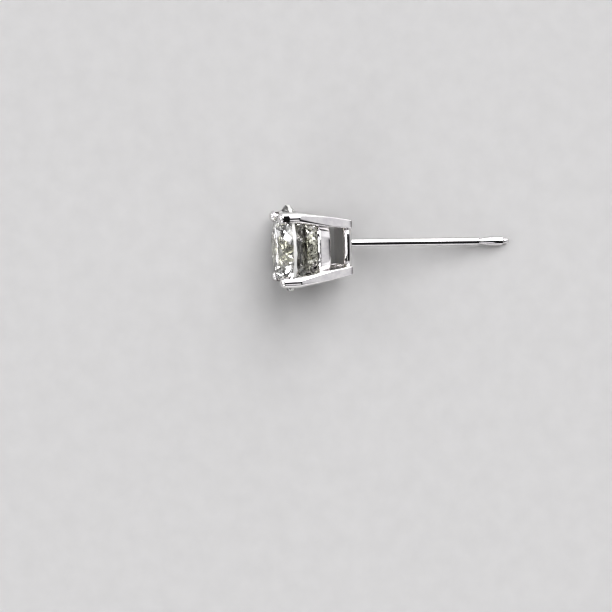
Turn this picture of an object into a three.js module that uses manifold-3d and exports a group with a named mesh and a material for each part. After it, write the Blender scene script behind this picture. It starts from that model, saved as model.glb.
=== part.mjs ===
// A stud earring lying on a table: a round brilliant stone held by the four claws of a cast basket,
// with a straight notched post soldered to the middle of the basket's back plate.
// Millimetres, +Z up, the table at z = 0. The origin is the middle of the bounding box's bottom face.
//
// The head is drawn about its own axis first: z = 0 is the middle of the girdle, +z runs out through
// the stone's table and -z down the post. Then the earring is laid on its side, on the girdle's
// lowest flat and the end of the post.
import * as THREE from "three";
import { mergeVertices } from "three/addons/utils/BufferGeometryUtils.js";
import Module from "manifold-3d";

// Stone
const stoneDiameter = 6.4;
const tableWidth = 3.65; // corner to corner
const crownAngle = 34.5; // degrees, of the eight kite facets
const pavilionAngle = 40.75; // degrees, of the eight pavilion mains
const girdleThickness = 0.2; // where two mains meet it
const culetWidth = 0.06; // corner to corner
const starLength = 0.5; // share of the way from the table's edge to the girdle
const lowerHalfLength = 0.77; // share of the way from the girdle to the culet
const mains = 8;

// Claws and their bars
const seatClearance = 0.03; // between the stone and the metal
const clawCount = 4;
const clawDiameter = 0.86;
const clawStandOut = 0.045; // middle of the claw outside the girdle
const clawAboveTable = 0.04;
const clawDomeHeight = 0.36;
const hookThickness = 0.46; // of the claw's end over the crown
const notchDepth = 0.25; // outside the girdle, under the hook
const barBendDepth = 0.47; // below the girdle, where the bar starts to run inwards
const barBendRun = 0.22; // half the length of the bend
const footWidth = 0.66;
const footSpread = 4.02; // across the feet, outside to outside
const barSquareness = 5; // exponent of the bar's rounded square, 2 for a circle
const barSquareBy = 0.4; // share of the way from the bend to the foot

// Gallery rail and back plate
const galleryDepth = 2.29; // below the girdle, to the rail's middle
const galleryHeight = 1.02;
const galleryWall = 0.48;
const galleryBite = 0.12; // of the rail into the bars' inner edges
const gallerySquareness = 2.5; // exponent of the rail's outline, 2 for a circle
const galleryEdgeRound = 0.12;
const culetRoom = 1; // between the culet and the back plate
const plateThickness = 0.6;
const plateWidth = 3.74;
const plateCornerRound = 0.3;

// Post
const postDiameter = 0.64;
const postLength = 12.85;
const postOffset = 0.2; // soldered this far off the plate's middle
const postCant = 1.7; // degrees, back towards the middle
const solderFillet = 0.12;
const grooveFromEnd = 2.48;
const grooveDiameter = 0.45;
const grooveShoulder = 0.08; // length of the steep side
const grooveRamp = 0.78; // length of the slow side
const bulbDiameter = 0.71;
const noseLength = 0.45;
const noseDiameter = 0.44;
const noseStep = 0.1; // length of the step down to the nose

// How it lies
const basketTurn = 8.5; // degrees about its own axis, from two claws level

// How finely round things are cut
const barSides = 20;
const railSides = 64;
const postSides = 24;

const stoneRadius = stoneDiameter / 2;
const halfGirdle = girdleThickness / 2;
const clawRadius = clawDiameter / 2;
const clawCircle = stoneRadius + clawStandOut;
const postRadius = postDiameter / 2;
const degrees = THREE.MathUtils.degToRad;
const slope = (angle) => Math.tan(degrees(angle));

const wasm = await Module();
wasm.setup();

// A closed geometry as a solid that can be joined and cut.
function solidOf(geometry) {
  const bare = new THREE.BufferGeometry();
  bare.setAttribute("position", geometry.getAttribute("position"));
  bare.setIndex(geometry.index);
  const welded = mergeVertices(bare);
  return new wasm.Manifold(
    new wasm.Mesh({
      numProp: 3,
      vertProperties: welded.attributes.position.array,
      triVerts: Uint32Array.from(welded.index.array),
    }),
  );
}

function geometryOf(solid) {
  const mesh = solid.getMesh();
  const geometry = new THREE.BufferGeometry();
  geometry.setAttribute("position", new THREE.BufferAttribute(mesh.vertProperties, 3));
  geometry.setIndex(new THREE.BufferAttribute(mesh.triVerts, 1));
  geometry.computeVertexNormals();
  return geometry;
}

// A polygon mesh from named corners: each facet is a list of corners, anticlockwise from outside.
function facetedGeometry(facets) {
  const corners = facets.flatMap((facet) =>
    facet.slice(2).flatMap((corner, i) => [facet[0], facet[i + 1], corner]),
  );
  return mergeVertices(new THREE.BufferGeometry().setFromPoints(corners));
}

// A solid turned about the head's axis, from [radius, height] pairs that run from high to low outside.
function turned(profile, sides) {
  const points = profile.map(([radius, height]) => new THREE.Vector2(radius, height)).reverse();
  return solidOf(new THREE.LatheGeometry(points, sides).rotateX(Math.PI / 2));
}

function around(radius, angle, height) {
  return new THREE.Vector3(radius * Math.cos(angle), radius * Math.sin(angle), height);
}

// The heights and radii at which the stone's facets meet, as a cutter would reckon them.
function stonePlan() {
  const step = Math.PI / mains; // from a main's middle to the edge it shares with the next
  const tableRadius = tableWidth / 2;
  const tableHeight = halfGirdle + (stoneRadius - tableRadius) * slope(crownAngle);
  const tableEdge = tableRadius * Math.cos(step);
  const starRadius = tableEdge + starLength * (stoneRadius - tableEdge);
  const starHeight =
    halfGirdle + (stoneRadius - starRadius * Math.cos(step)) * slope(crownAngle);
  const lowerRadius = stoneRadius * (1 - lowerHalfLength);
  const lowerDepth =
    halfGirdle + (stoneRadius - lowerRadius * Math.cos(step)) * slope(pavilionAngle);
  const culetRadius = culetWidth / 2;
  const culetDepth =
    halfGirdle + (stoneRadius - culetRadius * Math.cos(step)) * slope(pavilionAngle);
  return {
    step,
    tableRadius,
    tableHeight,
    starRadius,
    starHeight,
    lowerRadius,
    lowerDepth,
    culetRadius,
    culetDepth,
  };
}

// Round brilliant: table, 8 stars, 8 kites, 16 upper halves, girdle, 16 lower halves, 8 mains, culet.
function brilliantGeometry() {
  const plan = stonePlan();
  const tableCorner = (main) => around(plan.tableRadius, main * 2 * plan.step, plan.tableHeight);
  const starTip = (main) => around(plan.starRadius, (main * 2 + 1) * plan.step, plan.starHeight);
  const lowerTip = (main) => around(plan.lowerRadius, (main * 2 + 1) * plan.step, -plan.lowerDepth);
  const culetCorner = (main) =>
    around(plan.culetRadius, (main * 2 + 1) * plan.step, -plan.culetDepth);
  const upper = (half) => around(stoneRadius, half * plan.step, halfGirdle);
  const lower = (half) => around(stoneRadius, half * plan.step, -halfGirdle);

  const everyMain = [...Array(mains).keys()];
  const facets = [everyMain.map(tableCorner), everyMain.map(culetCorner).reverse()];
  for (const main of everyMain) {
    const first = main * 2;
    const middle = first + 1;
    const last = first + 2;
    facets.push([tableCorner(main), starTip(main), tableCorner(main + 1)]);
    facets.push([tableCorner(main), starTip(main - 1), upper(first), starTip(main)]);
    facets.push([starTip(main), upper(first), upper(middle)]);
    facets.push([starTip(main), upper(middle), upper(last)]);
    facets.push([lowerTip(main), lower(middle), lower(first)]);
    facets.push([lowerTip(main), lower(last), lower(middle)]);
    facets.push([
      culetCorner(main - 1),
      culetCorner(main),
      lowerTip(main),
      lower(first),
      lowerTip(main - 1),
    ]);
    for (const half of [first, middle])
      facets.push([upper(half), lower(half), lower(half + 1), upper(half + 1)]);
  }
  return facetedGeometry(facets);
}

// What a seat cutter takes out of the claws: the stone's turned outline, grown by the clearance,
// and a notch outside the girdle that leaves the claw's end as a hook over the crown.
function seatCutter() {
  const plan = stonePlan();
  const grown = (radius, height) => [
    radius + seatClearance,
    height + Math.sign(height) * seatClearance,
  ];
  const hookUnderside = plan.tableHeight + clawAboveTable - hookThickness;
  const notchRadius = stoneRadius + notchDepth;
  const hookEnd = clawCircle - clawRadius / 2;
  const crownUnderHook = halfGirdle + (stoneRadius - hookEnd) * slope(crownAngle);
  return turned(
    [
      [0, plan.tableHeight + seatClearance],
      grown(plan.tableRadius, plan.tableHeight),
      grown(plan.starRadius, plan.starHeight),
      grown(hookEnd, crownUnderHook),
      [hookEnd + seatClearance + clawRadius / 4, hookUnderside],
      [notchRadius, hookUnderside],
      [notchRadius, halfGirdle],
      grown(stoneRadius, -halfGirdle),
      grown(plan.lowerRadius, -plan.lowerDepth),
      grown(plan.culetRadius, -plan.culetDepth),
      [0, -plan.culetDepth - seatClearance],
    ],
    railSides,
  );
}

const { tableHeight, culetDepth } = stonePlan();
const clawTop = tableHeight + clawAboveTable;
const shoulder = clawTop - clawDomeHeight;
const plateFront = -(culetDepth + culetRoom);
const plateBack = plateFront - plateThickness;
const footCircle = ((footSpread - footWidth) / 2) * Math.SQRT2;
const barRun = -plateBack - barBendDepth;
const barLean = (clawCircle - footCircle) / barRun;

// How far the bar's middle lies from the axis at a height, with a soft bend under the girdle.
function barCircle(height) {
  const past = -height - barBendDepth;
  if (past <= -barBendRun) return clawCircle;
  if (past >= barBendRun) return clawCircle - barLean * past;
  return clawCircle - (barLean * (past + barBendRun) ** 2) / (4 * barBendRun);
}

// How far down the bar a height is, from 0 at the bend and above it to 1 at the foot.
function downBar(height) {
  return Math.max(0, -height - barBendDepth) / barRun;
}

function barWidth(height) {
  return THREE.MathUtils.lerp(clawDiameter, footWidth, downBar(height));
}

// One ring of the bar: a circle at the claw that turns into a rounded square further down.
function barSection(height, width = barWidth(height)) {
  const squared = Math.min(1, downBar(height) / barSquareBy);
  const exponent = 2 / THREE.MathUtils.lerp(2, barSquareness, squared);
  const round = (value) => Math.sign(value) * Math.abs(value) ** exponent * (width / 2);
  const middle = barCircle(height) / Math.SQRT2;
  return Array.from({ length: barSides }, (_, i) => {
    const angle = (i / barSides) * 2 * Math.PI;
    return new THREE.Vector3(
      middle + round(Math.cos(angle)),
      middle + round(Math.sin(angle)),
      height,
    );
  });
}

// A solid through rings of as many points each, from high to low, with flat ends.
function lofted(rings) {
  const facets = [rings[0], [...rings.at(-1)].reverse()];
  rings.slice(1).forEach((ring, i) => {
    const above = rings[i];
    ring.forEach((corner, k) => {
      const next = (k + 1) % ring.length;
      facets.push([above[k], corner, ring[next]], [above[k], ring[next], above[next]]);
    });
  });
  return solidOf(facetedGeometry(facets));
}

// One claw and the bar that carries it, in the corner between +X and +Y.
function clawBar() {
  const domeAngles = [78, 56, 34, 14];
  const dome = domeAngles.map((angle) =>
    barSection(
      shoulder + clawDomeHeight * Math.sin(degrees(angle)),
      clawDiameter * Math.cos(degrees(angle)),
    ),
  );
  const bendTop = barBendRun - barBendDepth;
  const bendFoot = -barBendRun - barBendDepth;
  const along = (from, to, count) =>
    Array.from({ length: count }, (_, i) => from + ((to - from) * (i + 1)) / count);
  const heights = [
    shoulder,
    bendTop,
    ...along(bendTop, bendFoot, 4),
    ...along(bendFoot, plateBack, 5),
  ];
  const bar = heights.map((height) => barSection(height));
  return lofted([...dome, ...bar]);
}

// How far a rounded square reaches at an angle, where a circle reaches 1.
function squareReach(angle, exponent) {
  const across = Math.abs(Math.cos(angle)) ** exponent;
  const along = Math.abs(Math.sin(angle)) ** exponent;
  return (across + along) ** (-1 / exponent);
}

// The rail half way down, leaning as the bars do: its corners reach into the bars' inner edges.
function galleryRail() {
  const top = galleryHeight / 2;
  const edge = galleryEdgeRound;
  const corner = squareReach(Math.PI / 4, gallerySquareness);
  const barCorner = squareReach(Math.PI / 4, barSquareness);
  const face = (up, inward) => {
    const height = up - galleryDepth;
    const barEdge = barCircle(height) - (barWidth(height) / 2) * barCorner;
    return [(barEdge + galleryBite) / corner - inward, height];
  };
  const soft = edge * (1 - Math.SQRT1_2);
  const outer = [
    face(top, edge),
    face(top - soft, soft),
    face(top - edge, 0),
    face(edge - top, 0),
    face(soft - top, soft),
    face(-top, edge),
  ];
  const inner = [face(-top, galleryWall), face(top, galleryWall)];
  const rail = turned([...outer, ...inner, outer[0]], railSides);
  return rail.warp((vertex) => {
    const reach = squareReach(Math.atan2(vertex[1], vertex[0]), gallerySquareness);
    vertex[0] *= reach;
    vertex[1] *= reach;
  });
}

function backPlate() {
  const half = plateWidth / 2;
  const round = plateCornerRound;
  const outline = new THREE.Shape();
  outline.absarc(half - round, half - round, round, 0, Math.PI / 2);
  outline.absarc(round - half, half - round, round, Math.PI / 2, Math.PI);
  outline.absarc(round - half, round - half, round, Math.PI, 1.5 * Math.PI);
  outline.absarc(half - round, round - half, round, 1.5 * Math.PI, 2 * Math.PI);
  const plate = new THREE.ExtrudeGeometry(outline, {
    depth: plateThickness,
    bevelEnabled: false,
    curveSegments: 5,
  });
  return solidOf(plate.translate(0, 0, plateBack));
}

// The post, its groove for the clutch and its nose, drawn down from the plate's back.
function post() {
  const grooveRadius = grooveDiameter / 2;
  const bulbRadius = bulbDiameter / 2;
  const noseRadius = noseDiameter / 2;
  const groove = grooveFromEnd - postLength;
  const noseStart = noseLength - postLength;
  const root = plateThickness / 2; // inside the plate
  const pin = turned(
    [
      [0, root],
      [postRadius + solderFillet, root],
      [postRadius + solderFillet, 0],
      [postRadius + solderFillet * 0.3, -solderFillet * 0.3],
      [postRadius, -solderFillet],
      [postRadius, groove],
      [grooveRadius, groove - grooveShoulder],
      [bulbRadius, groove - grooveShoulder - grooveRamp],
      [bulbRadius, noseStart + noseStep],
      [noseRadius, noseStart],
      [noseRadius, noseRadius * 0.5 - postLength],
      [noseRadius * 0.75, noseRadius * 0.16 - postLength],
      [noseRadius * 0.4, -postLength],
      [0, -postLength],
    ],
    postSides,
  );
  return pin.rotate([-postCant, 0, 0]).translate([0, postOffset, plateBack]);
}

function settingGeometry() {
  const quarter = 360 / clawCount;
  const bar = clawBar();
  let basket = bar;
  for (let i = 1; i < clawCount; i += 1) basket = basket.add(bar.rotate([0, 0, i * quarter]));
  basket = basket.subtract(seatCutter()).add(galleryRail()).add(backPlate());
  return geometryOf(basket.rotate([0, 0, -basketTurn]).add(post()));
}

const whiteGold = new THREE.MeshStandardMaterial({
  color: 0xe4e3e2,
  metalness: 1,
  roughness: 0.12,
});
const clearStone = new THREE.MeshStandardMaterial({
  color: 0xf6f8f8,
  metalness: 0,
  roughness: 0.02,
  flatShading: true,
});

const setting = new THREE.Mesh(settingGeometry(), whiteGold);
setting.name = "setting";

const stone = new THREE.Mesh(brilliantGeometry(), clearStone);
stone.name = "stone";
const halfFlat = Math.PI / (2 * mains);
stone.rotation.z = halfFlat; // the middle of a girdle edge lies underneath

// Laid down: the axis drops from the girdle to the thick end of the post, where the nose starts.
const lowestGirdle = stoneRadius * Math.cos(halfFlat);
const postRest = -plateBack + postLength - noseLength - noseStep;
const lie = Math.atan((lowestGirdle - bulbDiameter / 2) / (postRest - halfGirdle));
const earring = new THREE.Group();
earring.add(setting, stone);
earring.rotation.y = lie - Math.PI / 2;

const stud_earring = new THREE.Group();
stud_earring.add(earring);
const bounds = new THREE.Box3().setFromObject(stud_earring, true);
const middle = bounds.getCenter(new THREE.Vector3());
earring.position.set(-middle.x, -middle.y, -bounds.min.z);

export default stud_earring;
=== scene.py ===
"""A stud earring lying on a pale table: a round brilliant in a basket of polished white gold."""
import math

import bmesh
import bpy
from bpy.props import FloatProperty, IntProperty, PointerProperty, StringProperty
from mathutils import Matrix, Vector


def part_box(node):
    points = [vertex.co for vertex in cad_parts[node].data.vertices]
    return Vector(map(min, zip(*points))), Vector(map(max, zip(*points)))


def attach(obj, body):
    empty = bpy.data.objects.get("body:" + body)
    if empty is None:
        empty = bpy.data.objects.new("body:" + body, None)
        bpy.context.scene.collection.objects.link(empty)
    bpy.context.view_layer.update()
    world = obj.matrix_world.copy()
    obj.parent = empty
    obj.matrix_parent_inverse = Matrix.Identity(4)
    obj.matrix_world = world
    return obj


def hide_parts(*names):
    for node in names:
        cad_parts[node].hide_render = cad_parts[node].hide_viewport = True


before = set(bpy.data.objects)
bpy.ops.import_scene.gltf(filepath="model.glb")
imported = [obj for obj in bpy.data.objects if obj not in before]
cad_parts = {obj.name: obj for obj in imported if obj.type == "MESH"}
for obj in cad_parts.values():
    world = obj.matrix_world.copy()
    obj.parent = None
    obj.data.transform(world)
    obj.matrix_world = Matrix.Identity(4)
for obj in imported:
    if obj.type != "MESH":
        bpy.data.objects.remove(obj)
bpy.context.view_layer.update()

bl_info = {
    "name": "Stud Earring",
    "version": (1, 0, 0),
    "blender": (4, 5, 0),
    "location": "3D View > Sidebar > Earring",
    "description": "Makes a stud earring with a round brilliant in a claw basket",
    "category": "Object",
}

MM = 0.001


def length(name, millimetres, description):
    """A length that a user can set, shown in the scene's own unit."""
    return FloatProperty(
        name=name, description=description, default=millimetres * MM, min=0, unit="LENGTH", precision=5
    )


def position(name, millimetres, description):
    """A place along one axis, to either side of the origin."""
    return FloatProperty(
        name=name, description=description, default=millimetres * MM, unit="LENGTH", precision=5
    )


def angle(name, degrees, description):
    """An angle, given in degrees."""
    return FloatProperty(
        name=name, description=description, default=math.radians(degrees), subtype="ANGLE"
    )


def share(name, value, description):
    """A share of a whole, from 0 to 1."""
    return FloatProperty(name=name, description=description, default=value, subtype="FACTOR", min=0, max=1)


def squareness(name, value, description):
    """The exponent of a rounded square's outline: 2 is a circle, and more is squarer."""
    return FloatProperty(name=name, description=description, default=value, min=2)


def hex_colour(name, value, description):
    """A colour, as six hex digits of sRGB."""
    return StringProperty(name=name, description=description, default=value)


class StoneSizes(bpy.types.PropertyGroup):
    """The cut of the stone."""

    diameter: length("Diameter", 6.4, "Across the girdle")
    table: length("Table", 3.65, "Across the table, corner to corner")
    crown_angle: angle("Crown angle", 33.06, "Slope of the eight kite facets")
    pavilion_angle: angle("Pavilion angle", 40.23, "Slope of the eight pavilion mains")
    girdle: length("Girdle", 0.3, "Thickness of the girdle where two mains meet it")
    culet: length("Culet", 0.06, "Across the culet, corner to corner")
    star_length: share("Star length", 0.5, "Share of the way from the table's edge to the girdle")
    lower_length: share("Lower half length", 0.77, "Share of the way from the girdle to the culet")
    mains: IntProperty(name="Mains", description="Kites, stars and pavilion mains", default=8, min=3)


class BasketSizes(bpy.types.PropertyGroup):
    """The claws, their bars, the rail and the plate."""

    seat_gap: length("Seat gap", 0.03, "Between the stone and the metal")
    claws: IntProperty(name="Claws", description="How many claws hold the stone", default=4, min=2)
    claw: length("Claw", 0.86, "Thickness of a claw")
    stand_out: length("Stand out", 0.045, "Middle of the claw outside the girdle")
    above_table: length("Above table", 0.04, "Claw's top over the stone's table")
    dome: length("Dome", 0.36, "Height of the claw's rounded end")
    hook: length("Hook", 0.38, "Thickness of the claw's end over the crown")
    notch: length("Notch", 0.12, "Depth of the notch outside the girdle")
    flat_depth: length("Flat depth", 0.078, "Depth of the setter's flat on one side of the claw")
    flat_height: length("Flat height", 0.46, "Height of the setter's flat, under the hook")
    flat_turn: angle("Flat turn", 52, "Turn of the flat from the claw's outer side")
    bend: length("Bend", 0.47, "Depth below the girdle where the bar starts to run inwards")
    bend_run: length("Bend run", 0.08, "Half the length of the bend")
    square_by: share("Square by", 0.6, "Share of the way down at which the bar is square")
    foot: length("Foot", 0.66, "Thickness of the bar at the plate")
    foot_spread: length("Foot spread", 4.02, "Across the feet, outside to outside")
    bar_edge: length("Bar edge", 0.11, "Radius of the bar's long edges")
    foot_edge: length("Foot edge", 0.08, "Radius of the edge around the bar's end")
    rail_depth: length("Rail depth", 2.29, "From the girdle to the middle of the rail")
    rail_height: length("Rail height", 1.02, "Height of the rail")
    rail_wall: length("Rail wall", 0.48, "Thickness of the rail")
    rail_bite: length("Rail bite", 0.12, "How far the rail goes into the bars")
    rail_chamfer: length("Rail chamfer", 0.2, "Width of the bright edge towards the stone")
    rail_edge: length("Rail edge", 0.1, "Radius of the rail's other edges")
    rail_fall: length("Rail fall", 0.05, "How far the rail's face curves away towards the plate")
    rail_square: squareness("Rail squareness", 2.5, "Exponent of the rail's outline, 2 for a circle")
    culet_room: length("Culet room", 1.0, "Between the culet and the plate")
    plate_thickness: length("Plate thickness", 0.6, "Thickness of the back plate")
    plate_width: length("Plate width", 3.74, "Across the back plate")
    plate_square: squareness("Plate squareness", 4, "Exponent of the plate's outline, 2 for a circle")
    plate_bevel: length("Plate bevel", 0.22, "Width of the plate's two bevelled edges")
    plate_edge: length("Plate edge", 0.02, "Radius where the bevels meet the faces")
    turn: angle("Turn", 8.5, "Turn of the basket about its own axis, from two claws level")


class PostSizes(bpy.types.PropertyGroup):
    """The post that is soldered to the plate."""

    diameter: length("Diameter", 0.64, "Thickness of the post")
    length: length("Length", 12.85, "From the plate to the end")
    offset: length("Offset", 0.2, "How far off the plate's middle it is soldered")
    cant: angle("Cant", 1.7, "Lean back towards the middle")
    fillet: length("Fillet", 0.12, "Solder around the foot of the post")
    groove_from_end: length("Groove from end", 2.48, "From the groove's steep side to the end")
    groove: length("Groove", 0.45, "Thickness at the bottom of the groove")
    shoulder: length("Shoulder", 0.08, "Length of the groove's steep side")
    ramp: length("Ramp", 0.78, "Length of the groove's slow side")
    bulb: length("Bulb", 0.71, "Thickness past the groove")
    nose_length: length("Nose length", 0.45, "Length of the thin nose")
    nose: length("Nose", 0.44, "Thickness of the nose")
    nose_step: length("Nose step", 0.1, "Length of the step down to the nose")


class Finishes(bpy.types.PropertyGroup):
    """Colours, as sRGB hex values."""

    gold_light: hex_colour("White gold, light", "EFEEEC", "Plated metal where it is cleanest")
    gold_dark: hex_colour("White gold, dark", "E3E1E2", "Plated metal where polish has dulled")
    stone_clear: hex_colour("Stone, clear", "FFFFFF", "Body of the stone")
    stone_tint: hex_colour("Stone, tint", "F8F9F4", "Faint warm tint in the stone")
    stone_deep: hex_colour("Stone, deep", "F7F9DC", "Olive body colour towards the culet")
    girdle_frost: hex_colour("Girdle frost", "DCDCD8", "Ground edge of the stone")
    floor_light: hex_colour("Floor, light", "CCCCCA", "Pale table top")
    floor_dark: hex_colour("Floor, dark", "C9C9C7", "Pale table top, in its mottle")


class StageSizes(bpy.types.PropertyGroup):
    """Where the camera and the lights stand."""

    camera_x: position("Camera X", -6.717, "Along the earring")
    camera_y: position("Camera Y", -4.374, "Across the earring")
    camera_height: length("Camera height", 68.16, "Above the table")
    camera_turn: angle("Camera turn", -3.17, "Turn of the picture about the view's line")
    frame_width: length("Frame width", 45.54, "Width of the picture at the height of the girdle")
    floor_width: length("Floor", 3000, "Width of the pale table")


# Frames and meshes

# How finely round shapes are drawn, in steps, rings or sides
CORNER_STEPS = 10
EDGE_STEPS = 6
FOOT_EDGE_STEPS = 5
CLAW_RINGS = 4
BEND_RINGS = 8
BAR_RINGS = 14
FACE_RINGS = 6
SEAT_SIDES = 128
BASKET_SIDES = 160
POST_SIDES = 72

# A square's corner stops just short of half its width, so that no two points of the outline meet.
FULLEST_CORNER = 0.985

# Facets are joined where their corners lie this close.
WELD_WITHIN = 1e-4 * MM


def head_to_frame(context):
    """Puts the head, drawn about its own Z axis with the girdle's middle at the origin, in its place."""
    stone = context.scene.earring_stone
    plan = stone_plan(stone)
    lean = lie(context)
    low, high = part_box("stone")
    table_corner = stone.table / 2 * math.cos(plan["step"] / 2)
    reach = plan["table_height"] * math.cos(lean) + table_corner * math.sin(lean)
    drop = lowest_girdle(plan) * math.cos(lean) + plan["half_girdle"] * math.sin(lean)
    place = Matrix.Translation((low[0] + reach, 0, low[2] + drop))
    return place @ Matrix.Rotation(lean - math.pi / 2, 4, "Y")


def lowest_girdle(plan):
    """The CAD's stone lies on the middle of one straight girdle edge, between two junctions."""
    return plan["radius"] * math.cos(plan["step"] / 2)


def lie(context):
    """Angle between the axis and the table: girdle and post's thick end both touch it."""
    plan = stone_plan(context.scene.earring_stone)
    post = context.scene.earring_post
    rest = -plate_back(context) + post.length - post.nose_length - post.nose_step
    return math.atan((lowest_girdle(plan) - post.bulb / 2) / (rest - plan["half_girdle"]))


def plate_back(context):
    """Height of the plate's back, measured from the girdle."""
    basket = context.scene.earring_basket
    plan = stone_plan(context.scene.earring_stone)
    return -(plan["culet_depth"] + basket.culet_room + basket.plate_thickness)


def new_mesh(name, points, faces):
    """A mesh whose faces all look outwards."""
    mesh = bpy.data.meshes.new(name)
    mesh.from_pydata(points, [], faces)
    work = bmesh.new()
    work.from_mesh(mesh)
    bmesh.ops.recalc_face_normals(work, faces=work.faces)
    work.to_mesh(mesh)
    work.free()
    if not mesh.polygons:
        raise RuntimeError(f"{name} has no faces")
    return mesh


def link(name, mesh):
    """Puts a mesh in the scene as an object of that name."""
    piece = bpy.data.objects.new(name, mesh)
    bpy.context.scene.collection.objects.link(piece)
    return piece


def finish_metal(piece, sharp_degrees=38):
    """Smooth faces with crisp edges, in the setting's metal."""
    mesh = piece.data
    mesh.polygons.foreach_set("use_smooth", [True] * len(mesh.polygons))
    mesh.set_sharp_from_angle(angle=math.radians(sharp_degrees))
    evened = piece.modifiers.new("Even normals", "WEIGHTED_NORMAL")
    evened.keep_sharp = True
    mesh.materials.append(white_gold())
    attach(piece, "root")
    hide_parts("setting")


def lofted(rings):
    """Points and faces of a solid through rings of as many points each, with flat ends."""
    count = len(rings[0])
    points = [point for ring in rings for point in ring]
    faces = []
    for level in range(len(rings) - 1):
        for k in range(count):
            after = (k + 1) % count
            start = level * count
            faces.append((start + k, start + after, start + count + after, start + count + k))
    faces.append(tuple(range(count)))
    faces.append(tuple(range(len(points) - count, len(points))))
    return points, faces


def turned(profile, sides, ring=False):
    """Points and faces of a solid turned about Z, from (radius, height) pairs.

    A solid one starts and ends on the axis, and a ring's profile closes on itself."""
    body = profile if ring else profile[1:-1]
    points = []
    for radius, height in body:
        for k in range(sides):
            around = 2 * math.pi * k / sides
            points.append((radius * math.cos(around), radius * math.sin(around), height))
    faces = []
    levels = len(body) if ring else len(body) - 1
    for level in range(levels):
        start = level * sides
        below = (level + 1) % len(body) * sides
        for k in range(sides):
            after = (k + 1) % sides
            faces.append((start + k, start + after, below + after, below + k))
    if not ring:
        top = len(points)
        points.append((0, 0, profile[0][1]))
        points.append((0, 0, profile[-1][1]))
        last = (len(body) - 1) * sides
        for k in range(sides):
            after = (k + 1) % sides
            faces.append((top, after, k))
            faces.append((top + 1, last + k, last + after))
    return points, faces


def rounded_square(width, corner, steps):
    """Outline of a square with round corners, which is a circle when they meet."""
    half = width / 2
    corner = min(corner, FULLEST_CORNER * half)
    inner = half - corner
    outline = []
    for quarter in range(4):
        start = quarter * math.pi / 2
        middle = start + math.pi / 4
        centre_x = math.copysign(inner, math.cos(middle))
        centre_y = math.copysign(inner, math.sin(middle))
        for step in range(steps + 1):
            around = start + math.pi / 2 * step / steps
            outline.append((centre_x + corner * math.cos(around), centre_y + corner * math.sin(around)))
    return outline


def quarter_round(radius, steps):
    """(inset, drop) pairs round an edge, from its flat end to its side."""
    turns = [math.pi / 2 * step / steps for step in range(steps + 1)]
    return [(radius * (1 - math.sin(a)), radius * (1 - math.cos(a))) for a in turns]


# Stone


def stone_plan(stone):
    """Heights and radii at which the facets meet, as a cutter would reckon them."""
    step = math.pi / stone.mains
    radius = stone.diameter / 2
    half_girdle = stone.girdle / 2
    crown = math.tan(stone.crown_angle)
    pavilion = math.tan(stone.pavilion_angle)
    table_edge = stone.table / 2 * math.cos(step)
    star_radius = table_edge + stone.star_length * (radius - table_edge)
    lower_radius = radius * (1 - stone.lower_length)
    return {
        "step": step,
        "radius": radius,
        "half_girdle": half_girdle,
        "table_radius": stone.table / 2,
        "table_height": half_girdle + (radius - stone.table / 2) * crown,
        "star_radius": star_radius,
        "star_height": half_girdle + (radius - star_radius * math.cos(step)) * crown,
        "lower_radius": lower_radius,
        "lower_depth": half_girdle + (radius - lower_radius * math.cos(step)) * pavilion,
        "culet_radius": stone.culet / 2,
        "culet_depth": half_girdle + (radius - stone.culet / 2 * math.cos(step)) * pavilion,
    }


def girdle_half_height(plan, facet_height, facet_radius, from_junction):
    """The half facets sag between the points where they meet the mains, so the girdle is scalloped."""
    middle = plan["step"] / 2
    steepness = (facet_height - plan["half_girdle"]) / ((plan["radius"] - facet_radius) * math.cos(middle))
    outward = plan["radius"] * (math.cos(middle - from_junction) - math.cos(middle))
    return plan["half_girdle"] - steepness * outward


def brilliant(stone, flats_per_half=4):
    """Facets of a round brilliant, as lists of corners, and which of them are the ground girdle."""
    plan = stone_plan(stone)
    step = plan["step"]
    flat = step / flats_per_half
    per_main = 2 * flats_per_half

    def corner(radius, turn, height):
        return Vector((radius * math.cos(turn), radius * math.sin(turn), height))

    def table(main):
        return corner(plan["table_radius"], main * 2 * step, plan["table_height"])

    def star(main):
        return corner(plan["star_radius"], (main * 2 + 1) * step, plan["star_height"])

    def lower_tip(main):
        return corner(plan["lower_radius"], (main * 2 + 1) * step, -plan["lower_depth"])

    def culet(main):
        return corner(plan["culet_radius"], (main * 2 + 1) * step, -plan["culet_depth"])

    def upper_girdle(k):
        from_junction = k % flats_per_half * flat
        height = girdle_half_height(plan, plan["star_height"], plan["star_radius"], from_junction)
        return corner(plan["radius"], k * flat, height)

    def lower_girdle(k):
        from_junction = k % flats_per_half * flat
        depth = girdle_half_height(plan, plan["lower_depth"], plan["lower_radius"], from_junction)
        return corner(plan["radius"], k * flat, -depth)

    facets = [[table(main) for main in range(stone.mains)]]
    facets.append([culet(main) for main in reversed(range(stone.mains))])
    girdle = []
    for main in range(stone.mains):
        first = main * per_main
        middle = first + flats_per_half
        last = first + per_main
        facets.append([table(main), star(main), table(main + 1)])
        facets.append([table(main), star(main - 1), upper_girdle(first), star(main)])
        facets.append([star(main)] + [upper_girdle(k) for k in range(first, middle + 1)])
        facets.append([star(main)] + [upper_girdle(k) for k in range(middle, last + 1)])
        facets.append([lower_tip(main)] + [lower_girdle(k) for k in range(middle, first - 1, -1)])
        facets.append([lower_tip(main)] + [lower_girdle(k) for k in range(last, middle - 1, -1)])
        outer = [lower_tip(main), lower_girdle(first), lower_tip(main - 1)]
        facets.append([culet(main - 1), culet(main)] + outer)
        for k in range(first, last):
            girdle.append([upper_girdle(k), lower_girdle(k), lower_girdle(k + 1), upper_girdle(k + 1)])
    return facets, girdle


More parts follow.
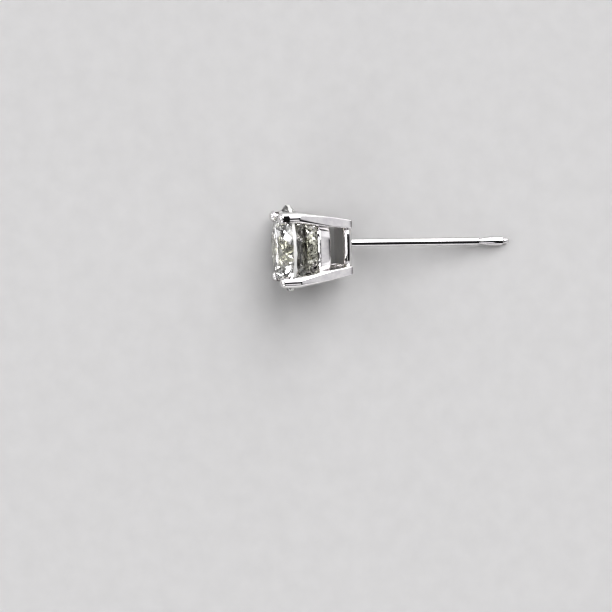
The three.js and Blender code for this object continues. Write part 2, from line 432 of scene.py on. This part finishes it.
class EARRING_OT_stone(bpy.types.Operator):
    """Cut the round brilliant, polished all over but for its ground girdle"""

    bl_idname = "earring.stone"
    bl_label = "Stone"

    def execute(self, context):
        stone = context.scene.earring_stone
        facets, girdle = brilliant(stone)
        points = []
        faces = []
        for facet in facets + girdle:
            faces.append(tuple(range(len(points), len(points) + len(facet))))
            points += facet
        mesh = new_mesh("brilliant", points, faces)
        for polygon in mesh.polygons[len(facets):]:
            polygon.material_index = 1
        work = bmesh.new()
        work.from_mesh(mesh)
        bmesh.ops.remove_doubles(work, verts=work.verts, dist=WELD_WITHIN)
        bmesh.ops.recalc_face_normals(work, faces=work.faces)
        work.to_mesh(mesh)
        work.free()
        mesh.transform(head_to_frame(context) @ Matrix.Rotation(stone_plan(stone)["step"] / 2, 4, "Z"))
        for vertex in mesh.vertices:
            vertex.co.z = max(vertex.co.z, 0)  # the girdle is flat where it lies, as in the CAD
        piece = link("brilliant", mesh)
        mesh.materials.append(diamond())
        mesh.materials.append(ground_girdle())
        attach(piece, "root")
        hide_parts("stone")
        return {"FINISHED"}


# Basket


def bar_run(context):
    """Height of the straight, leaning part of a bar."""
    return -plate_back(context) - context.scene.earring_basket.bend


def claw_circle(context):
    """How far the claw's middle lies from the axis."""
    return context.scene.earring_stone.diameter / 2 + context.scene.earring_basket.stand_out


def bar_circle(context, height):
    """How far the bar's middle lies from the axis, with a soft bend under the girdle."""
    basket = context.scene.earring_basket
    foot_circle = (basket.foot_spread - basket.foot) / 2 * math.sqrt(2)
    lean = (claw_circle(context) - foot_circle) / bar_run(context)
    past = -height - basket.bend
    if past <= -basket.bend_run:
        return claw_circle(context)
    if past >= basket.bend_run:
        return claw_circle(context) - lean * past
    return claw_circle(context) - lean * (past + basket.bend_run) ** 2 / (4 * basket.bend_run)


def down_bar(context, height):
    """Share of the way from the bend down to the plate."""
    return max(0, -height - context.scene.earring_basket.bend) / bar_run(context)


def bar_width(context, height):
    """The bar grows thinner towards its foot."""
    basket = context.scene.earring_basket
    return basket.claw + (basket.foot - basket.claw) * down_bar(context, height)


def bar_ring(context, height, width):
    """A circle at the claw that turns into a square with rounded edges further down."""
    basket = context.scene.earring_basket
    along = min(1, down_bar(context, height) / basket.square_by)
    corner = width / 2 + (basket.bar_edge - width / 2) * along
    middle = bar_circle(context, height) / math.sqrt(2)
    return [(middle + x, middle + y, height) for x, y in rounded_square(width, corner, CORNER_STEPS)]


# Rings round the claw's rounded end, in degrees up from its shoulder
DOME_RINGS = (86, 78, 70, 61, 52, 43, 34, 25, 16, 8)


def claw_bar(context):
    """One claw and its bar, before the stone's seat is cut."""
    basket = context.scene.earring_basket
    plan = stone_plan(context.scene.earring_stone)
    shoulder = plan["table_height"] + basket.above_table - basket.dome
    rings = []
    for degrees in DOME_RINGS:
        up = math.radians(degrees)
        rings.append(bar_ring(context, shoulder + basket.dome * math.sin(up), basket.claw * math.cos(up)))
    bend_top = basket.bend_run - basket.bend
    bend_foot = -basket.bend_run - basket.bend
    foot = plate_back(context) + basket.foot_edge
    heights = [shoulder + (bend_top - shoulder) * k / CLAW_RINGS for k in range(CLAW_RINGS)]
    heights += [bend_top + (bend_foot - bend_top) * k / BEND_RINGS for k in range(BEND_RINGS)]
    heights += [bend_foot + (foot - bend_foot) * k / BAR_RINGS for k in range(BAR_RINGS + 1)]
    for height in heights:
        rings.append(bar_ring(context, height, bar_width(context, height)))
    for inset, drop in reversed(quarter_round(basket.foot_edge, FOOT_EDGE_STEPS)[:-1]):
        height = plate_back(context) + drop
        rings.append(bar_ring(context, height, bar_width(context, height) - 2 * inset))
    return lofted(rings)


def seat_cutter(context):
    """The stone's turned outline with the seat's gap, and the notch under the claw's hook."""
    basket = context.scene.earring_basket
    plan = stone_plan(context.scene.earring_stone)
    gap = basket.seat_gap
    crown = math.tan(context.scene.earring_stone.crown_angle)

    def grown(radius, height):
        return (radius + gap, height + math.copysign(gap, height))

    underside = plan["table_height"] + basket.above_table - basket.hook
    hook_end = claw_circle(context) - basket.claw / 4
    hook_taper = basket.claw / 8
    under_hook = plan["half_girdle"] + (plan["radius"] - hook_end) * crown
    notch = plan["radius"] + basket.notch
    profile = [
        (0, plan["table_height"] + gap),
        grown(plan["table_radius"], plan["table_height"]),
        grown(plan["star_radius"], plan["star_height"]),
        grown(hook_end, under_hook),
        (hook_end + gap + hook_taper, underside),
        (notch, underside),
        (notch, plan["half_girdle"]),
        grown(plan["radius"], -plan["half_girdle"]),
        grown(plan["lower_radius"], -plan["lower_depth"]),
        grown(plan["culet_radius"], -plan["culet_depth"]),
        (0, -plan["culet_depth"] - gap),
    ]
    return turned(profile, SEAT_SIDES)


def flat_cutter(context):
    """A block that leaves the setter's flat on one side of the claw, where the seat was cut."""
    basket = context.scene.earring_basket
    plan = stone_plan(context.scene.earring_stone)
    top = plan["table_height"] + basket.above_table - basket.hook
    low = top - basket.flat_height
    near = basket.claw / 2 - basket.flat_depth
    corners = [(near, -basket.claw), (near + basket.claw, -basket.claw)]
    corners += [(x, -y) for x, y in reversed(corners)]
    middle = claw_circle(context) / math.sqrt(2)
    mesh = new_mesh("flat", *lofted([[(x, y, height) for x, y in corners] for height in (low, top)]))
    turned_to = math.pi / 4 - basket.flat_turn
    mesh.transform(Matrix.Translation((middle, middle, 0)) @ Matrix.Rotation(turned_to, 4, "Z"))
    return mesh


def cut(body, tool):
    """The body's mesh with the tool's shape taken away."""
    body_piece = link("body", body)
    tool_piece = link("tool", tool)
    taken = body_piece.modifiers.new("Cut", "BOOLEAN")
    taken.operation = "DIFFERENCE"
    taken.solver = "EXACT"
    taken.object = tool_piece
    graph = bpy.context.evaluated_depsgraph_get()
    mesh = bpy.data.meshes.new_from_object(body_piece.evaluated_get(graph))
    bpy.data.objects.remove(body_piece)
    bpy.data.objects.remove(tool_piece)
    return mesh


class EARRING_OT_claws(bpy.types.Operator):
    """Shape the bars and bend their claws over the stone's crown"""

    bl_idname = "earring.claws"
    bl_label = "Claws"

    def execute(self, context):
        basket = context.scene.earring_basket
        bar = new_mesh("bar", *claw_bar(context))
        tool = new_mesh("seat", *seat_cutter(context))
        shaped = cut(cut(bar, tool), flat_cutter(context))
        for k in range(basket.claws):
            mesh = shaped.copy()
            around = 2 * math.pi * k / basket.claws - basket.turn
            mesh.transform(head_to_frame(context) @ Matrix.Rotation(around, 4, "Z"))
            finish_metal(link(f"claw_{k + 1}", mesh))
        return {"FINISHED"}


def square_reach(around, exponent):
    """How far a rounded square reaches at an angle, where a circle reaches 1."""
    total = abs(math.cos(around)) ** exponent + abs(math.sin(around)) ** exponent
    return total ** (-1 / exponent)


def squared(points, exponent):
    """Points that were turned about the axis, moved out to a rounded square."""
    moved = []
    for x, y, z in points:
        reach = square_reach(math.atan2(y, x), exponent)
        moved.append((x * reach, y * reach, z))
    return moved


# (drop, inset) pairs over the rail's bright edge, as shares of its width
BRIGHT_EDGE = ((0, 0.6), (0.04, 0.5), (0.92, 0.03), (1, 0), (1.3, 0))

# The middle of a square's round corner stands in from both sides by about this share of its radius.
CORNER_LOSS = 0.3


class EARRING_OT_gallery_rail(bpy.types.Operator):
    """Run the rail round the basket, half way down its bars"""

    bl_idname = "earring.gallery_rail"
    bl_label = "Gallery rail"

    def execute(self, context):
        basket = context.scene.earring_basket
        top = basket.rail_height / 2
        corner = square_reach(math.pi / 4, basket.rail_square)
        diagonal = math.sqrt(2) * (1 - CORNER_LOSS * 2 * basket.bar_edge / basket.foot)

        def face(up, inward):
            height = up - basket.rail_depth
            bar_edge = bar_circle(context, height) - bar_width(context, height) / 2 * diagonal
            fall = basket.rail_fall * max(0, (top - up) / basket.rail_height) ** 2
            return ((bar_edge + basket.rail_bite) / corner - fall - inward, height)

        width = basket.rail_chamfer
        profile = [face(top - drop * width, inset * width) for drop, inset in BRIGHT_EDGE]
        run = 2 * top - width - basket.rail_edge
        profile += [face(top - width - run * k / FACE_RINGS, 0) for k in range(1, FACE_RINGS)]
        edge = quarter_round(basket.rail_edge, EDGE_STEPS)
        profile += [face(drop - top, inset) for inset, drop in reversed(edge)]
        profile += [face(drop - top, basket.rail_wall - inset) for inset, drop in edge]
        profile += [face(top - drop, basket.rail_wall - inset) for inset, drop in reversed(edge)]
        points, faces = turned(profile, BASKET_SIDES, ring=True)
        mesh = new_mesh("gallery_rail", squared(points, basket.rail_square), faces)
        mesh.transform(head_to_frame(context) @ Matrix.Rotation(-basket.turn, 4, "Z"))
        finish_metal(link("gallery_rail", mesh), sharp_degrees=60)
        return {"FINISHED"}


class EARRING_OT_back_plate(bpy.types.Operator):
    """Close the basket's back with a solid square plate between the bars"""

    bl_idname = "earring.back_plate"
    bl_label = "Back plate"

    def execute(self, context):
        basket = context.scene.earring_basket
        back = plate_back(context)
        front = back + basket.plate_thickness
        half = basket.plate_width / 2
        bevel = basket.plate_bevel
        soft = basket.plate_edge
        face_edge = half - bevel / 2
        rim = 8 * soft  # a narrow flat ring that keeps the edge's shading off the face
        dip = 0.3 * soft
        rise = 1.5 * soft

        def bevelled(flat, way):
            """(radius, height) pairs from a flat face over its bevel to the side."""
            return [
                (face_edge - rim, flat),
                (face_edge - soft, flat),
                (face_edge, flat + way * dip),
                (half - soft, flat + way * (bevel - rise)),
                (half, flat + way * bevel),
                (half, flat + way * (bevel + soft)),
            ]

        profile = [(0, front)] + bevelled(front, -1) + bevelled(back, 1)[::-1] + [(0, back)]
        points, faces = turned(profile, BASKET_SIDES)
        mesh = new_mesh("back_plate", squared(points, basket.plate_square), faces)
        mesh.transform(head_to_frame(context) @ Matrix.Rotation(-basket.turn, 4, "Z"))
        finish_metal(link("back_plate", mesh), sharp_degrees=60)
        return {"FINISHED"}


# Shares of the post's thickness and of the nose's radius that their edges take
POST_CHAMFER = 0.04
NOSE_ROUND = 0.8


class EARRING_OT_post(bpy.types.Operator):
    """Turn the post, with its groove for a clutch, and solder it to the plate"""

    bl_idname = "earring.post"
    bl_label = "Post"

    def execute(self, context):
        post = context.scene.earring_post
        end = -post.length
        groove = end + post.groove_from_end
        nose_start = end + post.nose_length
        radius = post.diameter / 2
        bulb = post.bulb / 2
        nose = post.nose / 2
        sunk = post.fillet / 2  # the foot starts inside the plate
        profile = [(0, sunk), (radius + post.fillet, sunk)]
        for inset, drop in quarter_round(post.fillet, EDGE_STEPS):
            profile.append((radius + inset, -drop))
        ramp_end = groove - post.shoulder - post.ramp
        chamfer = POST_CHAMFER * post.diameter
        profile += [
            (radius, groove + chamfer),
            (radius - chamfer, groove),
            (post.groove / 2, groove - post.shoulder),
            (post.groove / 2, groove - 2 * post.shoulder),
            (bulb, ramp_end),
            (bulb, nose_start + post.nose_step + chamfer),
            (bulb - chamfer, nose_start + post.nose_step),
            (nose, nose_start),
        ]
        for inset, drop in reversed(quarter_round(nose * NOSE_ROUND, EDGE_STEPS)):
            profile.append((nose - inset, end + drop))
        profile.append((0, end))
        mesh = new_mesh("post", *turned(profile, POST_SIDES))
        place = Matrix.Translation((0, post.offset, plate_back(context)))
        mesh.transform(head_to_frame(context) @ place @ Matrix.Rotation(-post.cant, 4, "X"))
        finish_metal(link("post", mesh), sharp_degrees=20)
        return {"FINISHED"}


# Materials

# Nearly all of a noise texture's values lie between these.
NOISE_LOW = 0.3
NOISE_HIGH = 0.7

# In a mix of colours these sockets hold the colours, because the sockets named A and B hold numbers.
MIX_A = 6
MIX_B = 7
MIX_RESULT = 2

DIAMOND_IOR = 2.417


def linear(hex_value):
    """An sRGB hex colour as linear red, green, blue and alpha."""
    parts = [int(hex_value[i:i + 2], 16) / 255 for i in (0, 2, 4)]
    return tuple(c / 12.92 if c <= 0.04045 else ((c + 0.055) / 1.055) ** 2.4 for c in parts) + (1,)


def add_node(tree, kind, settings=(), inputs=(), links=()):
    """Adds a node with its settings, its input values and links from other nodes' outputs."""
    node = tree.nodes.new(kind)
    for name, value in dict(settings).items():
        setattr(node, name, value)
    for name, value in dict(inputs).items():
        node.inputs[name].default_value = value
    for name, output in dict(links).items():
        tree.links.new(output, node.inputs[name])
    return node


def new_material(name):
    """An empty material with the object's own coordinates, in metres."""
    material = bpy.data.materials.new(name)
    material.use_nodes = True
    tree = material.node_tree
    tree.nodes.clear()
    place = add_node(tree, "ShaderNodeTexCoord")
    return material, tree, place.outputs["Object"]


def mottle(tree, place, size, detail, dark, light):
    """Patches of a size in metres, as the noise itself and as a soft mix of two colours."""
    noise = add_node(
        tree, "ShaderNodeTexNoise", inputs={"Scale": 1 / size, "Detail": detail}, links={"Vector": place}
    )
    ramp = add_node(tree, "ShaderNodeValToRGB", links={"Fac": noise.outputs["Fac"]})
    ramp.color_ramp.elements[0].position = NOISE_LOW
    ramp.color_ramp.elements[0].color = linear(dark)
    ramp.color_ramp.elements[1].position = NOISE_HIGH
    ramp.color_ramp.elements[1].color = linear(light)
    return noise.outputs["Fac"], ramp.outputs["Color"]


def white_gold():
    """Fourteen carat white gold, cast, polished and rhodium plated.

    The plating gives a cold bright white with hard reflections. Polishing leaves faces a little
    wavy over half a millimetre, and hairlines a few hundredths wide that soften the gloss."""
    name = "rhodium_plated_white_gold"
    if name in bpy.data.materials:
        return bpy.data.materials[name]
    look = bpy.context.scene.earring_finishes
    material, tree, place = new_material(name)
    wave = 0.5 * MM
    hairline = 0.05 * MM
    patches, colour = mottle(tree, place, wave, 3, look.gold_dark, look.gold_light)
    hairlines = add_node(
        tree, "ShaderNodeTexNoise", inputs={"Scale": 1 / hairline, "Detail": 2}, links={"Vector": place}
    )
    gloss = add_node(
        tree,
        "ShaderNodeMapRange",
        inputs={"From Min": NOISE_LOW, "From Max": NOISE_HIGH, "To Min": 0.05, "To Max": 0.1},
        links={"Value": hairlines.outputs["Fac"]},
    )
    waves = add_node(
        tree,
        "ShaderNodeBump",
        inputs={"Strength": 0.12, "Distance": 0.02 * MM},
        links={"Height": patches},
    )
    shader = add_node(
        tree,
        "ShaderNodeBsdfPrincipled",
        inputs={"Metallic": 1},
        links={
            "Base Color": colour,
            "Roughness": gloss.outputs["Result"],
            "Normal": waves.outputs["Normal"],
        },
    )
    add_node(tree, "ShaderNodeOutputMaterial", links={"Surface": shader.outputs["BSDF"]})
    return material


def diamond():
    """Diamond, cut and polished. Its high index throws light back from the pavilion, so the stone
    is bright with hard black patches. Its faint olive body colour shows most towards the culet."""
    look = bpy.context.scene.earring_finishes
    material, tree, place = new_material("polished_diamond")
    axes = add_node(tree, "ShaderNodeSeparateXYZ", links={"Vector": place})
    low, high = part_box("stone")
    crown = 1.2 * MM  # the olive starts behind it
    zone = 1.5 * MM
    depth = add_node(
        tree,
        "ShaderNodeMapRange",
        inputs={"From Min": low[0] + crown, "From Max": high[0]},
        links={"Value": axes.outputs["X"]},
    )
    _, colour = mottle(tree, place, zone, 1, look.stone_tint, look.stone_clear)
    body = add_node(
        tree,
        "ShaderNodeMix",
        settings={"data_type": "RGBA"},
        inputs={MIX_B: linear(look.stone_deep)},
        links={"Factor": depth.outputs["Result"], MIX_A: colour},
    )
    shader = add_node(
        tree,
        "ShaderNodeBsdfPrincipled",
        inputs={"Roughness": 0, "IOR": DIAMOND_IOR, "Transmission Weight": 1},
        links={"Base Color": body.outputs[MIX_RESULT]},
    )
    add_node(tree, "ShaderNodeOutputMaterial", links={"Surface": shader.outputs["BSDF"]})
    return material


def ground_girdle():
    """Diamond left ground at the girdle: the same clear stone, frosted, in grains of a hundredth
    of a millimetre that are drawn coarser here so that they show."""
    look = bpy.context.scene.earring_finishes
    material, tree, place = new_material("ground_diamond_girdle")
    drawn_grain = 0.06 * MM
    grains, colour = mottle(tree, place, drawn_grain, 2, look.stone_tint, look.girdle_frost)
    rough = add_node(
        tree,
        "ShaderNodeMapRange",
        inputs={"To Min": 0.5, "To Max": 0.8},
        links={"Value": grains},
    )
    shader = add_node(
        tree,
        "ShaderNodeBsdfPrincipled",
        inputs={"IOR": DIAMOND_IOR, "Transmission Weight": 0.15},
        links={"Base Color": colour, "Roughness": rough.outputs["Result"]},
    )
    add_node(tree, "ShaderNodeOutputMaterial", links={"Surface": shader.outputs["BSDF"]})
    return material


def table_top():
    """A matt pale board, like coated card, with the faint cloudiness of its pulp."""
    look = bpy.context.scene.earring_finishes
    material, tree, place = new_material("matt_pale_card")
    cloud = 1.5 * MM
    fibre = 0.3 * MM
    _, colour = mottle(tree, place, cloud, 3, look.floor_dark, look.floor_light)
    fibres = add_node(
        tree, "ShaderNodeTexNoise", inputs={"Scale": 1 / fibre, "Detail": 4}, links={"Vector": place}
    )
    relief = add_node(
        tree,
        "ShaderNodeBump",
        inputs={"Strength": 0.08, "Distance": 0.02 * MM},
        links={"Height": fibres.outputs["Fac"]},
    )
    shader = add_node(
        tree,
        "ShaderNodeBsdfPrincipled",
        inputs={"Roughness": 0.85, "IOR": 1.45},
        links={"Base Color": colour, "Normal": relief.outputs["Normal"]},
    )
    add_node(tree, "ShaderNodeOutputMaterial", links={"Surface": shader.outputs["BSDF"]})
    return material


# Stage

# The panels of the light tent. Each runs across from -90 at the -Y horizon over 0 straight up to 90
# at the +Y horizon, in degrees, and along from -1 at the -X horizon to 1 at the +X horizon. Soft is
# the width of its edges in degrees, and bright is its strength, where plain white is 1. Seen from
# above, the metal mirrors the first eight, and the last four light the stone.
SKY = (
    {"across": (-92, -58), "along": (0.545, 0.92), "soft": 12, "bright": 0.9},
    {"across": (-92, -76), "along": (0.05, 0.545), "soft": 4, "bright": 1.15},
    {"across": (60, 92), "along": (0.05, 0.92), "soft": 6, "bright": 1.4},
    {"across": (-59, 16), "along": (0.545, 0.78), "soft": 10, "bright": 0.66},
    {"across": (-59, -34), "along": (0.18, 0.35), "soft": 2, "bright": 0.8},
    {"across": (-6, 16), "along": (0.18, 0.35), "soft": 2, "bright": 0.8},
    {"across": (8, 62), "along": (0.05, 0.58), "soft": 4, "bright": 3.2},
    {"across": (16, 62), "along": (0.58, 0.92), "soft": 18, "bright": 0.86},
    {"across": (-18, 18), "along": (-0.82, -0.58), "soft": 4, "bright": 2},
    {"across": (-70, -48), "along": (-0.55, -0.2), "soft": 4, "bright": 2},
    {"across": (-48, 14), "along": (-0.5, -0.22), "soft": 4, "bright": 0.55},
    {"across": (34, 56), "along": (-0.78, -0.48), "soft": 4, "bright": 3.2},
)
SKY_BASE = 0.04
SKY_COLOUR = "FBFAFD"

# A haze of this strength gives the other views a pale backdrop. It fades out at this height, where
# 1 is straight up.
HORIZON = 0.5
HORIZON_HEIGHT = 0.3

# Small lamps in staggered rows over the stone's end make it sparkle. Sizes and gaps are in degrees.
LAMP_ROWS = (-0.92, -0.64, -0.37, -0.09)
LAMPS_IN_ROW = 7
FIRST_LAMP = -80
LAMP_SIZE = 8
LAMP_GAP = 18
LAMP_LENGTH = 0.1
LAMP_SOFT = 3
LAMP_BRIGHT = 3.4

# Light turns many times inside the stone before it leaves, and a few times between the metal's faces.
STONE_BOUNCES = 40
METAL_BOUNCES = 12
EXPOSURE = -0.3
SENSOR_WIDTH = 36


def small_lamps():
    """The lamps as panels, with every other row moved on by half a gap."""
    lamps = []
    pitch = LAMP_SIZE + LAMP_GAP
    for row, along in enumerate(LAMP_ROWS):
        for k in range(LAMPS_IN_ROW):
            across = FIRST_LAMP + (k + row % 2 / 2) * pitch
            lamps.append({
                "across": (across, across + LAMP_SIZE),
                "along": (along, along + LAMP_LENGTH),
                "soft": LAMP_SOFT,
                "bright": LAMP_BRIGHT,
            })
    return lamps


def panel_share(tree, panel, across, along):
    """1 inside a panel and 0 outside it, with a soft step at each of its four sides."""
    soft = math.radians(panel["soft"])
    sides = [(across, math.radians(limit), soft) for limit in panel["across"]]
    sides += [(along, limit, math.sin(soft)) for limit in panel["along"]]
    inside = None
    for (source, limit, edge), way in zip(sides, (1, -1, 1, -1)):
        side = add_node(
            tree,
            "ShaderNodeMapRange",
            settings={"interpolation_type": "SMOOTHSTEP"},
            inputs={"From Min": limit - way * edge / 2, "From Max": limit + way * edge / 2},
            links={"Value": source},
        )
        if inside is None:
            inside = side.outputs["Result"]
            continue
        both = add_node(
            tree,
            "ShaderNodeMath",
            settings={"operation": "MULTIPLY"},
            links={0: inside, 1: side.outputs["Result"]},
        )
        inside = both.outputs[0]
    return inside


def panel_light(tree, axes):
    """Brightness of the tent in each direction, with the panels laid over each other in order."""
    across = add_node(
        tree,
        "ShaderNodeMath",
        settings={"operation": "ARCTAN2"},
        links={0: axes.outputs["Y"], 1: axes.outputs["Z"]},
    )
    light = None
    for panel in [*SKY, *small_lamps()]:
        share_of_panel = panel_share(tree, panel, across.outputs[0], axes.outputs["X"])
        mixed = add_node(
            tree,
            "ShaderNodeMix",
            inputs={"A": SKY_BASE, "B": panel["bright"]},
            links={"Factor": share_of_panel},
        )
        if light is not None:
            tree.links.new(light, mixed.inputs["A"])
        light = mixed.outputs["Result"]
    return light


def sky_world():
    """A light tent with brighter panels and the dark gap overhead that the camera looks through."""
    world = bpy.data.worlds.new("light_tent")
    world.use_nodes = True
    tree = world.node_tree
    tree.nodes.clear()
    view = add_node(tree, "ShaderNodeTexCoord")
    axes = add_node(tree, "ShaderNodeSeparateXYZ", links={0: view.outputs["Generated"]})
    light = panel_light(tree, axes)
    haze = add_node(
        tree,
        "ShaderNodeMapRange",
        inputs={"From Max": HORIZON_HEIGHT, "To Min": HORIZON, "To Max": SKY_BASE},
        links={"Value": axes.outputs["Z"]},
    )
    brightest = add_node(
        tree,
        "ShaderNodeMath",
        settings={"operation": "MAXIMUM"},
        links={0: light, 1: haze.outputs["Result"]},
    )
    background = add_node(
        tree,
        "ShaderNodeBackground",
        inputs={"Color": linear(SKY_COLOUR)},
        links={"Strength": brightest.outputs[0]},
    )
    add_node(tree, "ShaderNodeOutputWorld", links={"Surface": background.outputs["Background"]})
    return world


class EARRING_OT_stage(bpy.types.Operator):
    """Lay the pale table, put up the light tent and look straight down"""

    bl_idname = "earring.stage"
    bl_label = "Stage"

    def execute(self, context):
        stage = context.scene.earring_stage
        scene = context.scene
        half = stage.floor_width / 2
        corners = [(-half, -half, 0), (half, -half, 0), (half, half, 0), (-half, half, 0)]
        floor = link("table_top", new_mesh("table_top", corners, [(0, 1, 2, 3)]))
        floor.data.materials.append(table_top())

        scene.world = sky_world()

        lens = bpy.data.cameras.new("camera")
        girdle_height = head_to_frame(context).translation.z
        lens.sensor_width = SENSOR_WIDTH
        lens.lens = SENSOR_WIDTH * (stage.camera_height - girdle_height) / stage.frame_width
        lens.clip_start = MM
        camera = bpy.data.objects.new("camera", lens)
        camera.location = (stage.camera_x, stage.camera_y, stage.camera_height)
        camera.rotation_euler = (0, 0, stage.camera_turn)
        scene.collection.objects.link(camera)
        scene.camera = camera

        scene.view_settings.view_transform = "Standard"
        scene.view_settings.look = "Very High Contrast"
        scene.view_settings.exposure = EXPOSURE
        scene.cycles.max_bounces = STONE_BOUNCES
        scene.cycles.transmission_bounces = STONE_BOUNCES
        scene.cycles.glossy_bounces = METAL_BOUNCES
        scene.cycles.caustics_refractive = False
        return {"FINISHED"}


class EARRING_PT_panel(bpy.types.Panel):
    """Sizes and pieces of the earring."""

    bl_label = "Stud Earring"
    bl_idname = "EARRING_PT_panel"
    bl_space_type = "VIEW_3D"
    bl_region_type = "UI"
    bl_category = "Earring"

    def draw(self, context):
        for name, _ in GROUPS:
            box = self.layout.box()
            group = getattr(context.scene, name)
            for field in group.__annotations__:
                box.prop(group, field)
        for piece in PIECES:
            self.layout.operator(piece.bl_idname)


GROUPS = (
    ("earring_stone", StoneSizes),
    ("earring_basket", BasketSizes),
    ("earring_post", PostSizes),
    ("earring_finishes", Finishes),
    ("earring_stage", StageSizes),
)
PIECES = (
    EARRING_OT_stage,
    EARRING_OT_stone,
    EARRING_OT_claws,
    EARRING_OT_gallery_rail,
    EARRING_OT_back_plate,
    EARRING_OT_post,
)


def register():
    for name, group in GROUPS:
        bpy.utils.register_class(group)
        setattr(bpy.types.Scene, name, PointerProperty(type=group))
    for piece in PIECES:
        bpy.utils.register_class(piece)
    bpy.utils.register_class(EARRING_PT_panel)


def unregister():
    bpy.utils.unregister_class(EARRING_PT_panel)
    for piece in reversed(PIECES):
        bpy.utils.unregister_class(piece)
    for name, group in reversed(GROUPS):
        delattr(bpy.types.Scene, name)
        bpy.utils.unregister_class(group)


def main():
    register()
    bpy.ops.earring.stage()
    bpy.ops.earring.stone()
    bpy.ops.earring.claws()
    bpy.ops.earring.gallery_rail()
    bpy.ops.earring.back_plate()
    bpy.ops.earring.post()
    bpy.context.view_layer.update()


if __name__ == "__main__":
    main()
